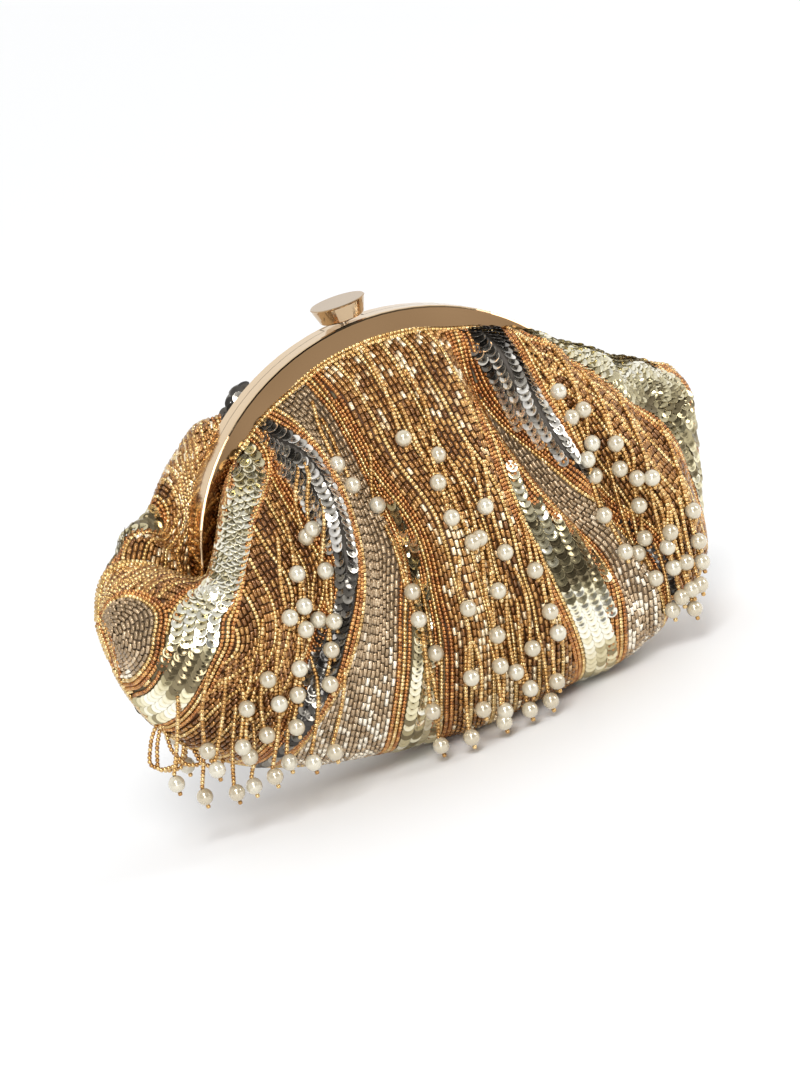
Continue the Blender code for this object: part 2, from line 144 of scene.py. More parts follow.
def scatter(name, template, places, along, normals, sizes, material, tone=None, shade=None):
    """Copies of a template in one mesh. Its X lies along the thread, and its Z stands out of the cloth.

    The tone of each copy is random if not given; the shade darkens some of the template's points as painted
    shade.
    """
    base, faces = template
    along = unit(along)
    normals = unit(normals - along * np.sum(normals * along, 1, keepdims=True))
    side = np.cross(normals, along)
    sizes = np.broadcast_to(np.asarray(sizes, float), (len(places), 3))
    scaled = base[None] * sizes[:, None, :]
    points = (
        places[:, None, :]
        + scaled[:, :, 0:1] * along[:, None, :]
        + scaled[:, :, 1:2] * side[:, None, :]
        + scaled[:, :, 2:3] * normals[:, None, :]
    )
    points[..., 2] = np.maximum(points[..., 2], 0.0)  # what lies under the bag is pressed flat by it
    quads = faces[None] + (np.arange(len(places)) * len(base))[:, None, None]
    tint = np.repeat(rng.random(len(places)) if tone is None else tone, len(base))
    if shade is not None:
        tint = tint * np.tile(shade, len(places))
    return make_mesh(name, points.reshape(-1, 3), quads.reshape(-1, faces.shape[1]), material, tint)


# Beads of length 1 and radius 1.
SEED = turned([(-0.5, 0.5), (-0.34, 0.93), (0.0, 1.0), (0.34, 0.93), (0.5, 0.5)], 7)
BUGLE = turned([(-0.5, 0.55), (-0.47, 1.0), (0.47, 1.0), (0.5, 0.55)], 8)


# The sequin, of radius 1, is a shallow cup with a hole; its edge turns up a little and has a thin rim.
SEQUIN_SIDES = 16
SEQUIN_RINGS = ((0.2, 0.0), (0.62, 0.03), (0.94, 0.13), (1.0, 0.12), (0.98, 0.05))  # radius, height
# Painted shade: each sequin is darker at its hole and has a dark rim that stands in for the shadow cast by
# the next sequin.
SEQUIN_PAINTED_SHADE = np.repeat([0.6, 1.0, 0.95, 0.12, 0.0], SEQUIN_SIDES)  # darker at the hole, dark at the rim


def sequin_template():
    angle = 2 * np.pi * np.arange(SEQUIN_SIDES) / SEQUIN_SIDES
    rings = []
    for radius, height in SEQUIN_RINGS:
        level = np.full(SEQUIN_SIDES, height)
        rings.append(np.stack([radius * np.cos(angle), radius * np.sin(angle), level], 1))
    return np.concatenate(rings), ring_faces(len(rings), SEQUIN_SIDES)


SEQUIN = sequin_template()


def ball(sides=14, rings=9):
    polar = np.pi * (np.arange(rings) + 0.5) / rings
    return turned([(-math.cos(a) / math.cos(polar[0]), math.sin(a)) for a in polar], sides)


# ---------------------------------------------------------------- pouch surface
HALF_WIDTH, HALF_DEPTH, HINGE_Z = 120.0, 38.5, 80.0
ARCH_HALF, ARCH_RISE, FACE = 82.0, 73.0, 9.0


def along_knots(position, knots):
    """A smooth curve through (position, value) knots."""
    at, value = np.array(knots, float).T
    slope = np.gradient(value, at)
    position = np.clip(position, at[0], at[-1])
    i = np.clip(np.searchsorted(at, position, side="right") - 1, 0, len(at) - 2)
    step = at[i + 1] - at[i]
    t = (position - at[i]) / step
    h1, h2 = t * t * (3 - 2 * t), t * (1 - t) ** 2
    h3 = t * t * (t - 1)
    return value[i] * (1 - h1) + value[i + 1] * h1 + slope[i] * step * h2 + slope[i + 1] * step * h3


def inner_arch(x):
    """Height of the inner edge of the frame's face."""
    half, rise = ARCH_HALF - FACE, ARCH_RISE - FACE
    return HINGE_Z + rise * np.sqrt(np.maximum(0.0, 1 - (x / half) ** 2))


# The cloth's top edge: distance from the middle plane by |x|, and height by x past the frame's two ends.
TOP_OUT = [
    (0, 5.2), (60, 5.2), (65, 5.6), (68, 7.4), (74, 8.8), (78, 8.8), (82, 8.2), (86, 3.0), (90, 0.6),
    (120, 0.4),
]
TOP_Z = [
    (-120, 88), (-116, 97.5), (-110, 103.5), (-104, 104), (-98, 101), (-92, 95.5), (-86, 88.5),
    (-82, 85), (-78, 85), (-74, 88), (-71, 95.5), (-68, 103.2), (-64, 111),
    (64, 111), (68, 109.5), (74, 108), (80, 105.5), (86, 103.5), (92, 101), (98, 98.5), (105, 95),
    (111, 92.5), (116, 90), (120, 83),
]
LATCH_ROOM = 1.2  # the rear cloth's top edge dips this far below the latch, which comes down with the knob
# How far the cloth swells out by |x|, and up by x, just past its top edge.
PUFF_OUT = [(0, 9.0), (45, 9.0), (60, 7.5), (80, 6.0), (100, 5.0), (110, 2.5), (120, 0.0)]
PUFF_LIFT = {
    -1: [
        (-120, 0), (-112, 1), (-104, 2), (-96, 3), (-88, 6), (-80, 14), (-70, 20), (-60, 14), (-45, 4),
        (-30, -3), (0, -5), (30, -3), (45, 6), (60, 23), (70, 25), (78, 18), (86, 11), (94, 8), (104, 6),
        (112, 3), (120, 0),
    ],
    1: [
        (-120, 0), (-112, 4), (-104, 14), (-94, 36), (-84, 62), (-76, 72), (-68, 56), (-55, 40),
        (-44, 33), (-30, 8), (-15, -2), (0, -3), (25, 0), (40, 6), (52, 9), (62, 11), (72, 10), (84, 6),
        (94, 4), (104, 3), (112, 2), (120, 0),
    ],
}
WIDEST_Z = 66  # the level where the bag is thickest
DROP, BASE_Z = 81.0, 1.2  # from the hinges down to the seam; the seam above the floor
# Height above the widest level from which the cloth leans in, by |x|.
SHOULDER = [(0, 40), (60, 34), (80, 28), (100, 16), (120, 0)]
# Power of the lower curve in the front view, and of the lower curve of each section, by x.
OUTLINE = [(-120, 2.3), (0, 2.3), (30, 2.6), (60, 2.9), (120, 2.9)]
ROUNDNESS = [(-120, 1.0), (-60, 1.0), (-20, 0.9), (20, 0.72), (60, 0.62), (120, 0.62)]


def drawn_in(x, z):
    """x once the right-hand end of the cloth is drawn in, more so toward the floor."""
    pull = 5 + 9 * np.clip((85 - z) / 40, 0, 1)
    return x - pull * (np.maximum(x - 60, 0) / 60) ** 2


def section(x, side, steps):
    """Points (out, up) of the cloth at each x, evenly spaced from the frame to the bottom seam."""
    a = np.abs(x)
    share = a / HALF_WIDTH
    depth = HALF_DEPTH * (1 - share**2.5) ** 0.4 * (1 - share**80)
    middle = WIDEST_Z + 16 * share**4
    corner = along_knots(x, OUTLINE)
    drop = DROP * (1 - share**corner) ** (1 / corner)
    bottom = HINGE_Z + 2 * share**4 - drop + BASE_Z
    bottom += 2.2 * np.exp(-(((x + 45) / 32) ** 2))  # the seam rises a little left of the middle
    top_out = along_knots(a, TOP_OUT)
    top_z = np.where(a < 64, inner_arch(x) + 0.7, along_knots(x, TOP_Z))
    if side > 0:
        top_z = top_z - LATCH_ROOM * np.exp(-((x / 7) ** 4))
    lift = along_knots(x, PUFF_LIFT[side])
    hull = [
        np.stack([top_out, top_z]),
        np.stack([np.minimum(top_out + along_knots(a, PUFF_OUT), depth), top_z + lift]),
        np.stack([depth, middle + along_knots(a, SHOULDER)]),
        np.stack([depth, middle]),
    ]
    t = np.linspace(0, 1, 90)[:, None, None]
    weights = [(1 - t) ** 3, 3 * t * (1 - t) ** 2, 3 * t * t * (1 - t), t**3]
    upper = sum(w * h[None] for w, h in zip(weights, hull))
    angle = np.linspace(0, np.pi / 2, 90)[1:, None]
    power = along_knots(x, ROUNDNESS)[None]
    out = depth * np.cos(angle) ** power
    up = middle - (middle - bottom) * np.sin(angle) ** power
    lower = np.stack([np.maximum(out, 0.3), up], 1)
    path = np.concatenate([upper, lower])
    gaps = np.linalg.norm(np.diff(path, axis=0), axis=1)
    length = np.concatenate([np.zeros((1, len(x))), np.cumsum(gaps, 0)])
    v = np.linspace(0, 1, steps)
    made = np.empty((len(x), steps, 2))
    for i in range(len(x)):
        at = v * length[-1, i]
        made[i, :, 0] = np.interp(at, length[:, i], path[:, 0, i])
        made[i, :, 1] = np.interp(at, length[:, i], path[:, 1, i])
    return made


PLEAT_KNOTS = (0.0, 0.25, 0.5, 0.75, 1.0)
STRIPE_KNOTS = (0.0, 0.1, 0.15, 0.25, 0.4, 0.6, 0.8, 1.0)

# Pleats: x of the crest or valley at v = 0, 1/4 ... 1; height there; reach to the left and to the right.
FRONT_PLEATS = [
    ((-43, -39, -45, -72, -86), (2, 6, 5.0, 1.0, 0), 3.0, 9),
    ((-50, -50, -58, -84, -96), (-1, -5, -5.0, -1.0, 0), 7, 5),
    ((-58, -80, -98, -108, -114), (1, 3, 2.5, 1.0, 0), 10, 9),
    ((-29, -26, -28, -38, -46), (-1, -3, -4.0, -1.0, 0), 8, 6),
    ((-23, -19, -15, -22, -26), (-1, -7, -9.0, -3.0, 0), 5, 3),
    ((-18, -11, -5, -10, -12), (1, 6, 7.0, 3.0, 0), 3.0, 12),
    ((24, 18, 18, 24, 28), (1, 4, 4.0, 2.0, 0), 9, 5),
    ((32, 33, 45, 60, 64), (-1, -8, -6.0, -2.0, 0), 4, 4),
    ((44, 44, 58, 72, 80), (2, 8, 0.0, 0.0, 0), 4, 10),
    ((52, 54, 62, 74, 82), (0, -1, -9.0, -3.0, 0), 6, 7),
    ((58, 66, 82, 94, 104), (1, 4, 5.0, 3.0, 0), 8, 12),
    ((84, 96, 104, 110, 114), (0, -2, -2.0, -1.0, 0), 5, 5),
]
REAR_PLEATS = [
    ((-62, -70, -84, -98, -108), (1, 5, 4.0, 1.5, 0), 6, 10),
    ((-48, -52, -60, -72, -84), (-1, -7, -5.0, -1.5, 0), 5, 5),
    ((-36, -38, -44, -52, -60), (1, 6, 4.0, 2.0, 0), 6, 8),
    ((-20, -19, -22, -28, -34), (-1, -6, -6.0, -2.0, 0), 4, 5),
    ((-6, -4, -4, -6, -8), (1, 5, 5.0, 3.0, 0), 8, 9),
    ((12, 13, 16, 20, 24), (-1, -6, -5.0, -2.0, 0), 5, 4),
    ((26, 28, 34, 42, 48), (1, 6, 5.0, 2.0, 0), 7, 8),
    ((42, 46, 54, 64, 74), (-1, -7, -5.0, -1.5, 0), 4, 5),
    ((56, 66, 78, 90, 100), (1, 5, 5.0, 2.0, 0), 8, 12),
]


class Pouch:
    """One side of the pouch as a fine grid of points, with lookups by (x, v)."""

    NX, NV = 481, 241

    def __init__(self, side, pleats):
        self.side = side
        spread = np.linspace(-1, 1, self.NX)
        self.x = HALF_WIDTH * 0.9992 * spread
        self.v = np.linspace(0, 1, self.NV)
        flat = section(self.x, side, self.NV)
        base = np.stack([drawn_in(self.x[:, None], flat[..., 1]), side * flat[..., 0], flat[..., 1]], -1)
        normal = self.normals_of(base)
        lift = np.zeros((self.NX, self.NV))
        for centres, heights, left, right in pleats:
            centre = along_knots(self.v, list(zip(PLEAT_KNOTS, centres)))[None]
            height = along_knots(self.v, list(zip(PLEAT_KNOTS, heights)))[None]
            reach = np.where(self.x[:, None] < centre, left, right)
            lift += height * np.exp(-(((self.x[:, None] - centre) / reach) ** 2))
        x, v = np.meshgrid(self.x, self.v, indexing="ij")
        fade = np.clip(v / 0.1, 0, 1) * np.clip((1 - v) / 0.1, 0, 1) * np.clip((120 - np.abs(x)) / 14, 0, 1)
        # Small gathers below the frame, then slow waves over the whole cloth.
        lift += 1.1 * np.sin(x / 3.1 + 1.7 * np.sin(5 * v)) * np.exp(-(((v - 0.12) / 0.12) ** 2))
        lift += 1.3 * np.sin(x / 11.0 + 4.0 * v + side) * np.sin(7 * v + x / 29.0)
        self.p = base + normal * (lift * fade)[..., None]
        self.n = self.normals_of(self.p)
        gaps = np.linalg.norm(np.diff(self.p, axis=0), axis=2)
        self.length = np.concatenate([np.zeros((1, self.NV)), np.cumsum(gaps, 0)])
        self.make_height_map()

    def normals_of(self, points):
        across = np.gradient(points, axis=0)
        down = np.gradient(points, axis=1)
        return unit(np.cross(down, across)) * -self.side

    def at(self, x, v, values=None):
        """Bilinear lookup in the grid of points, or in another grid of the same size."""
        grid = self.p if values is None else values
        i = np.clip((x - self.x[0]) / (self.x[1] - self.x[0]), 0, self.NX - 1.001)
        j = np.clip(v * (self.NV - 1), 0, self.NV - 1.001)
        i0, j0 = i.astype(int), j.astype(int)
        a, b = (i - i0)[..., None], (j - j0)[..., None]
        if grid.ndim == 2:
            grid = grid[..., None]
        return (
            grid[i0, j0] * (1 - a) * (1 - b)
            + grid[i0 + 1, j0] * a * (1 - b)
            + grid[i0, j0 + 1] * (1 - a) * b
            + grid[i0 + 1, j0 + 1] * a * b
        )

    def cell(self, x, z):
        """Place of (x, z) in the height map, whose cells are 1 mm wide."""
        i = np.clip(np.round(x + 130).astype(int), 0, 260)
        j = np.clip(np.round(z + 10).astype(int), 0, 180)
        return i, j

    def make_height_map(self):
        """How far the cloth stands out at each (x, z), for what hangs in front of it."""
        size = (261, 181)
        out = np.zeros(size)
        at = self.cell(self.p[..., 0].ravel(), self.p[..., 2].ravel())
        np.maximum.at(out, at, (self.side * self.p[..., 1]).ravel())
        for _ in range(2):
            padded = np.pad(out, 1)
            steps = [(i, j) for i in range(3) for j in range(3)]
            near = [padded[i : i + size[0], j : j + size[1]] for i, j in steps]
            out = np.maximum(out, np.mean(near, 0))
        self.out = out

    def stands_out(self, x, z):
        return self.out[self.cell(x, z)]

    def offset(self, x, v, distance):
        """x after going a distance along the cloth, at each v, from a line of x; far off past its end."""
        moved = np.empty(len(v))
        for k, (x0, at) in enumerate(zip(x, v)):
            j = min(int(round(at * (self.NV - 1))), self.NV - 1)
            run = self.length[:, j]
            start = np.interp(x0, self.x, run)
            moved[k] = np.interp(start + distance, run, self.x, left=-999, right=999)
        return moved

    def run_between(self, x0, x1, v):
        """Distance along the cloth between two lines of x, at each v."""
        j = np.clip(np.round(v * (self.NV - 1)).astype(int), 0, self.NV - 1)
        runs = [self.length[:, k] for k in j]
        ends = [(np.interp(a, self.x, run), np.interp(b, self.x, run)) for a, b, run in zip(x0, x1, runs)]
        return np.array([end - start for start, end in ends])


# ---------------------------------------------------------------- stripes
# x of each border between two stripes, at each of STRIPE_KNOTS.
BORDERS = {
    -1: [
        (-119.4, -119.4, -119.4, -119.4, -119.4, -119.4, -119.4, -119.4),
        (-119, -116, -109, -103, -107.5, -114.5, -117.5, -118.6),
        (-56, -69, -82, -97, -107, -114, -117.3, -118.3),
        (-47, -49, -56, -78, -89, -100, -108, -112.5),
        (-48, -48.5, -48.5, -47.5, -47, -69, -83, -91),
        (-39, -35, -33, -32, -36, -53, -73, -80),
        (-21.5, -19, -18.5, -17.5, -17, -28, -38, -41),
        (-20, -17.5, -17, -15.5, -11, -13.5, -19, -18.5),
        (34, 31, 29.5, 26, 23.5, 27, 32.5, 32.5),
        (35, 32.5, 31, 29.5, 34, 51, 50, 49),
        (36, 34, 33.5, 36, 47.5, 69, 72, 74),
        (54, 52, 51, 50, 56, 75.5, 85, 88),
        (57, 57, 66, 84, 96, 105.5, 108, 110),
        (112, 113, 113.5, 114.5, 115.5, 116, 117, 118),
        (119.4, 119.4, 119.4, 119.4, 119.4, 119.4, 119.4, 119.4),
    ],
}
BORDERS[1] = [tuple(-x for x in row) for row in reversed(BORDERS[-1][:1] + BORDERS[-1][2:])]
BORDERS[1][1] = (-112, -111, -110, -110, -113, -115, -116, -117)
BORDERS[1][2] = (-108, -98, -84, -82, -93, -102, -106, -108)
# What fills each stripe, and the side that its threads are lined up with.
KINDS = {
    -1: [
        "champagne", "amber", "gold", "amber", "gunmetal", "champagne", "gold", "amber",
        "gold", "champagne", "gunmetal", "amber", "gold", "champagne",
    ],
}
KINDS[1] = list(reversed(KINDS[-1][:1] + KINDS[-1][2:]))
ALIGN = {-1: "RRRRRRLLLLRRLL", 1: "RRLLRRRLLLLLL"}
CORD_WIDTH = 1.75  # between the threads of seed beads that part two stripes
CORDS = 3
CORD_GAP = 0.95  # a thread closer than this to the one before it is left out
SEED_PITCH, FILL_PITCH = 1.42, 1.7  # along a thread of seed beads; between the threads beside the sequins
SEQUINS = ("gold", "gunmetal")
# Distance between two threads, and between two beads of a thread.
SPACING = {"gold": (4.2, 2.6), "gunmetal": (4.2, 2.6), "amber": (1.78, 3.15), "champagne": (1.78, 3.15)}


def border_lines(side, v):
    """x of each border between two stripes, at each v."""
    return np.array([along_knots(v, list(zip(STRIPE_KNOTS, knots))) for knots in BORDERS[side]])


def resampled(pouch, x, v, keep, pitch, jitter=0.0):
    """Evenly spaced places along one thread, where keep says that the thread shows: (x, v) pairs."""
    run = run_along(pouch.at(x, v))
    count = int(run[-1] / pitch)
    if count < 1:
        return np.empty((0, 2))
    at = (np.arange(count) + 0.5 + jitter) * pitch
    shown = np.interp(at, run, keep.astype(float)) > 0.5
    return np.stack([np.interp(at, run, x), np.interp(at, run, v)], 1)[shown]


def frames_at(pouch, spots, lift):
    """Place, thread direction and normal at each (x, v, dx/dv)."""
    x, v, slope = spots.T
    step = 0.004
    place = pouch.at(x, v)
    ahead = pouch.at(x + slope * step, np.minimum(v + step, 1.0))
    behind = pouch.at(x - slope * step, np.maximum(v - step, 0.0))
    normal = unit(pouch.at(x, v, pouch.n))
    return place + normal * lift, unit(ahead - behind), normal


def with_slope(spots, x, v):
    slope = np.gradient(x, v)
    return np.concatenate([spots, np.interp(spots[:, 1], v, slope)[:, None]], 1)


def lay_beads(pouch):
    """Every thread of beads and sequins on one side of the pouch, by kind, as (x, v, slope)."""
    v = np.linspace(0.0, 0.985, 160)
    rows = border_lines(pouch.side, v)
    half_cord = CORDS * CORD_WIDTH / 2
    last = np.full(len(v), -9.0)  # how far along the cloth the last thread laid lies
    laid = {kind: [] for kind in ("cord", "cord_gold", "amber", "champagne", "gold", "gunmetal")}
    # The threads that part the stripes; where two borders meet, those that would overlap are left out.
    for i, line in enumerate(rows):
        first = {0: 0, len(rows) - 1: 1 - CORDS}.get(i, (1 - CORDS) / 2)
        run = pouch.run_between(rows[0], line, v)
        for j in range(CORDS):
            distance = CORD_WIDTH * (j + first)
            x = pouch.offset(line, v, distance) if distance else line
            keep = (np.abs(x) < 119.5) & (run + distance - last > CORD_GAP)
            last = np.where(keep, run + distance, last)
            spots = resampled(pouch, x, v, keep, SEED_PITCH, rng.random() - 0.5)
            kind = "cord_gold" if (i + j) % 3 == 1 else "cord"
            laid[kind].append(with_slope(spots, x, v))
    # What fills the stripes.
    for i, kind in enumerate(KINDS[pouch.side]):
        left = pouch.offset(rows[i], v, half_cord)
        right = pouch.offset(rows[i + 1], v, -half_cord)
        align_left = ALIGN[pouch.side][i] == "L"
        across, along = SPACING[kind]
        edge = 0.5 * across
        start = left if align_left else right
        if kind in SEQUINS:  # seed beads take up the room that whole sequins leave
            run = pouch.run_between(left, right, v)
            spare = np.where(run > across, run % across, run)
            far, toward = (right, -1) if align_left else (left, 1)
            for j in range(3):
                x = pouch.offset(far, v, toward * (0.3 + FILL_PITCH * (j + 0.4)))
                shown = (spare > FILL_PITCH * (j + 0.5)) & (run > 0.3)
                spots = resampled(pouch, x, v, shown, SEED_PITCH, rng.random() - 0.5)
                laid["cord"].append(with_slope(spots, x, v))
        for j in range(200):
            step = edge + j * across
            x = pouch.offset(start, v, step if align_left else -step)
            keep = (x > left - 0.01) & (x < right + 0.01) & (np.abs(x) < 119.3)
            if kind in SEQUINS:
                keep &= (x > left + 0.5) & (x < right - 0.5)
            if not keep.any():
                break
            shift = rng.uniform(-0.1, 0.1) if kind in SEQUINS else rng.random() - 0.5
            if kind == "amber" and j % 5 == 3:  # every fifth thread is of gold seed beads
                spots = resampled(pouch, x, v, keep, SEED_PITCH, shift)
                laid["cord_gold"].append(with_slope(spots, x, v))
                continue
            clear = (v > 0.012) | (kind not in SEQUINS)
            spots = resampled(pouch, x, v, keep & clear, along, shift)
            laid[kind].append(with_slope(spots, x, v))
    return {kind: np.concatenate(threads) for kind, threads in laid.items() if threads}


# ---------------------------------------------------------------- fringe
# Bunches of strands: their lean in degrees, and their rows of pearls (height, first x, last x, how many).
FRINGES = {
    -1: [
        (20.0, [
            (100, -49, -45, 2), (87, -57, -48, 2), (79, -66, -59, 2), (69, -62, -51, 3), (58, -80, -55, 3),
            (49, -88, -62, 4), (40, -104, -76, 4), (33, -116, -92, 3), (24, -108, -66, 7),
        ]),
        (8.0, [
            (118, -28, -4, 2), (106, -25, 4, 2), (98, -19, 0, 2), (86, -2, 13, 2), (79, 1, 7, 2),
            (68, -21, 12, 2), (57, -23, 20, 4), (43, -21, 21, 3), (31, -12, 24, 4), (25, -28, 5, 2),
            (15, -10, 19, 4), (3, -26, 17, 5),
        ]),
        (0.0, [
            (110, 55, 58, 1), (103, 55, 61, 2), (87, 56, 66, 3), (78, 58, 66, 2), (72, 70, 76, 2),
            (63, 56, 71, 2), (50, 58, 88, 4), (42, 66, 86, 3), (33, 70, 88, 4), (24, 75, 84, 3),
            (17, 74, 79, 2),
        ]),
    ],
    1: [
        (20.0, [
            (95, -56, -50, 2), (80, -66, -56, 2), (68, -72, -58, 3), (56, -84, -62, 3), (44, -92, -68, 4),
            (34, -100, -78, 4), (25, -100, -84, 3),
        ]),
        (4.0, [
            (110, -20, 8, 2), (96, -16, 14, 3), (82, -20, 16, 3), (68, -22, 20, 3), (54, -20, 22, 4),
            (40, -22, 22, 4), (26, -20, 22, 4), (10, -18, 20, 5),
        ]),
        (-14.0, [
            (100, 54, 60, 2), (84, 58, 70, 3), (70, 60, 78, 3), (56, 66, 86, 4), (42, 70, 92, 4),
            (30, 74, 92, 4),
        ]),
    ],
}
PEARL = 3.0  # radius
# Bead threads that loop below the seam, as corners (x, out, z).
LOOPS = [
    [
        (-112, 1.5, 49), (-117, 2.5, 44), (-121, 3, 36), (-116, 3, 31.5), (-110, 3, 30), (-107, 2.5, 36),
        (-105, 1.5, 42),
    ],
    [(-112, 2, 47), (-116, 3, 41), (-119, 4, 33), (-113, 4, 32), (-109, 4, 33.5), (-106, 3, 39)],
    [(-111, 2, 44), (-112, 4, 38), (-109, 5, 31), (-104, 5, 29), (-102, 4, 33), (-101, 2, 37)],
    [(-104, 2, 37), (-104, 5, 30), (-100, 6, 26), (-96, 5, 26), (-95, 3, 31)],
]


def softened(line, times):
    """The line with its corners rounded off, and its ends where they were."""
    for _ in range(times):
        line[1:-1] = (line[:-2] + 2 * line[1:-1] + line[2:]) / 4
    return line


def threaded(line):
    """Places of seed beads along a line, and the way that it runs at each."""
    run = run_along(line)
    at = np.arange(0.5, run[-1] / SEED_PITCH) * SEED_PITCH
    spots = np.stack([np.interp(at, run, line[:, c]) for c in range(3)], 1)
    return spots, np.gradient(spots, axis=0)


def hang_strands(pouch):
    """Bead strands that leave the cloth, lie on it and then hang free, each ending in a pearl."""
    beads, ways, pearls, stops = [], [], [], []
    for lean, rows in FRINGES[pouch.side]:
        for height, first, last, count in rows:
            for k in range(count):
                share = 0.5 if count == 1 else k / (count - 1)
                x = first + (last - first) * share + rng.uniform(-1.5, 1.5)
                z = max(height + rng.uniform(-2.5, 2.5), 9.0)
                length = rng.uniform(14, 30) + (6 if height < 45 else 0)
                angle = math.radians(lean + rng.uniform(-5, 5))
                bend = rng.uniform(-2.0, 2.0)
                t = np.linspace(0, 1, 60)
                px = x + length * (1 - t) * math.sin(angle) + bend * np.sin(np.pi * t)
                pz = z + length * (1 - t) * math.cos(angle)
                rest = pouch.stands_out(px, pz)
                lift = 0.6 + 1.5 * np.minimum(t * 5, 1)
                out = rest + lift
                for i in range(1, len(t)):  # under a bulge the strand swings in only slowly
                    out[i] = max(out[i], out[i - 1] - 0.10)
                py = pouch.side * out
                line = np.stack([px, py, pz], 1)[(rest > 1.0) | (t > 0.5)]
                spots, way = threaded(softened(line, 6))
                beads.append(spots)
                ways.append(way)
                end = line[-1].copy()
                end[1] = pouch.side * max(pouch.stands_out(end[0:1], end[2:3])[0] + 3.4, out[-1] + 0.4)
                end[2] -= 2.6
                pearls.append(end)
                stops.append(end - [0, 0, 3.7])
    for corners in LOOPS if pouch.side < 0 else []:
        line = np.array(corners, float) * (1, pouch.side, 1)
        t = np.linspace(0, 1, 80)
        line = np.stack([np.interp(t, np.linspace(0, 1, len(line)), c) for c in line.T], 1)
        spots, way = threaded(softened(line, 12))
        beads.append(spots)
        ways.append(way)
    return np.concatenate(beads), np.concatenate(ways), np.array(pearls), np.array(stops)


# ---------------------------------------------------------------- materials
def new_material(name, colour, metallic=0.0, roughness=0.4, **inputs):
    material = bpy.data.materials.new(name)
    material.use_nodes = True
    shader = material.node_tree.nodes["Principled BSDF"]
    shader.inputs["Base Color"].default_value = (*colour, 1)
    shader.inputs["Metallic"].default_value = metallic
    shader.inputs["Roughness"].default_value = roughness
    for key, value in inputs.items():
        shader.inputs[key.replace("_", " ")].default_value = value
    return material


def ramp_colour(material, source, stops):
    """Base colour from a colour ramp of (place, colour) stops."""
    tree = material.node_tree
    ramp = tree.nodes.new("ShaderNodeValToRGB")
    while len(ramp.color_ramp.elements) < len(stops):
        ramp.color_ramp.elements.new(0.5)
    for element, (place, colour) in zip(ramp.color_ramp.elements, stops):
        element.position = place
        element.color = (*colour, 1)
    tree.links.new(source, ramp.inputs["Fac"])
    tree.links.new(ramp.outputs["Color"], tree.nodes["Principled BSDF"].inputs["Base Color"])
    return ramp


def tint_of(material):
    node = material.node_tree.nodes.new("ShaderNodeAttribute")
    node.attribute_name = "tint"
    return node.outputs["Fac"]


def noise_of(material, scale, detail=3.0, stretch=(1, 1, 1)):
    tree = material.node_tree
    place = tree.nodes.new("ShaderNodeTexCoord")
    mapping = tree.nodes.new("ShaderNodeMapping")
    mapping.inputs["Scale"].default_value = stretch
    noise = tree.nodes.new("ShaderNodeTexNoise")
    noise.inputs["Scale"].default_value = scale
    noise.inputs["Detail"].default_value = detail
    tree.links.new(place.outputs["Object"], mapping.inputs["Vector"])
    tree.links.new(mapping.outputs["Vector"], noise.inputs["Vector"])
    return noise.outputs["Fac"]


def bump_of(material, height, strength, distance):
    tree = material.node_tree
    bump = tree.nodes.new("ShaderNodeBump")
    bump.inputs["Strength"].default_value = strength
    bump.inputs["Distance"].default_value = distance
    tree.links.new(height, bump.inputs["Height"])
    tree.links.new(bump.outputs["Normal"], tree.nodes["Principled BSDF"].inputs["Normal"])


def bead_material(name, stops, metallic, roughness, coat=0.6):
    material = new_material(name, stops[0][1], metallic, roughness, Coat_Weight=coat, Coat_Roughness=0.06)
    ramp_colour(material, tint_of(material), stops)
    return material


COPPER = bead_material(
    "copper_seed",
    [(0.0, (0.30, 0.105, 0.024)), (0.5, (0.48, 0.20, 0.05)), (1.0, (0.74, 0.40, 0.13))],
    0.8,
    0.22,
)
PALE_GOLD = bead_material(
    "gold_seed",
    [(0.0, (0.50, 0.29, 0.085)), (0.5, (0.72, 0.48, 0.18)), (1.0, (0.92, 0.71, 0.36))],
    0.8,
    0.2,
)
# Painted highlight: the near-white top stop colours the lightest beads as glints.
AMBER = bead_material(
    "amber_bugle",
    [
        (0.0, (0.20, 0.08, 0.018)), (0.5, (0.40, 0.185, 0.045)),
        (0.8, (0.62, 0.35, 0.115)), (0.92, (1.0, 0.85, 0.58)),
    ],
    0.65,
    0.2,
)
# Painted highlight: the near-white top stop colours the lightest beads as glints.
CHAMPAGNE = bead_material(
    "champagne_bugle",
    [
        (0.0, (0.32, 0.22, 0.12)), (0.5, (0.46, 0.325, 0.19)),
        (0.8, (0.68, 0.52, 0.335)), (0.93, (1.0, 0.92, 0.76)),
    ],
    0.55,
    0.24,
)
GOLD_SEQUIN = bead_material(
    "gold_sequin",
    [
        (0.0, (0.19, 0.15, 0.08)), (0.3, (0.48, 0.41, 0.23)),
        (0.6, (0.86, 0.78, 0.52)), (1.0, (1.0, 0.98, 0.86)),
    ],
    0.85,
    0.16,
    0.2,
)
GUN_SEQUIN = bead_material(
    "gunmetal_sequin",
    [
        (0.0, (0.05, 0.045, 0.04)), (0.35, (0.22, 0.20, 0.17)),
        (0.7, (0.72, 0.68, 0.60)), (1.0, (1.0, 0.97, 0.92)),
    ],
    0.85,
    0.16,
    0.2,
)
STRAND = bead_material(
    "strand_seed",
    [(0.0, (0.42, 0.21, 0.052)), (0.5, (0.64, 0.38, 0.125)), (1.0, (0.86, 0.63, 0.30))],
    0.8,
    0.2,
)
PEARLS = new_material(
    "pearl", (0.60, 0.52, 0.38), 0.2, 0.2, Coat_Weight=1.0, Coat_Roughness=0.06, Coat_IOR=2.0
)
ramp_colour(
    PEARLS,
    tint_of(PEARLS),
    [(0.0, (0.53, 0.45, 0.31)), (0.5, (0.60, 0.53, 0.385)), (1.0, (0.67, 0.62, 0.49))],
)

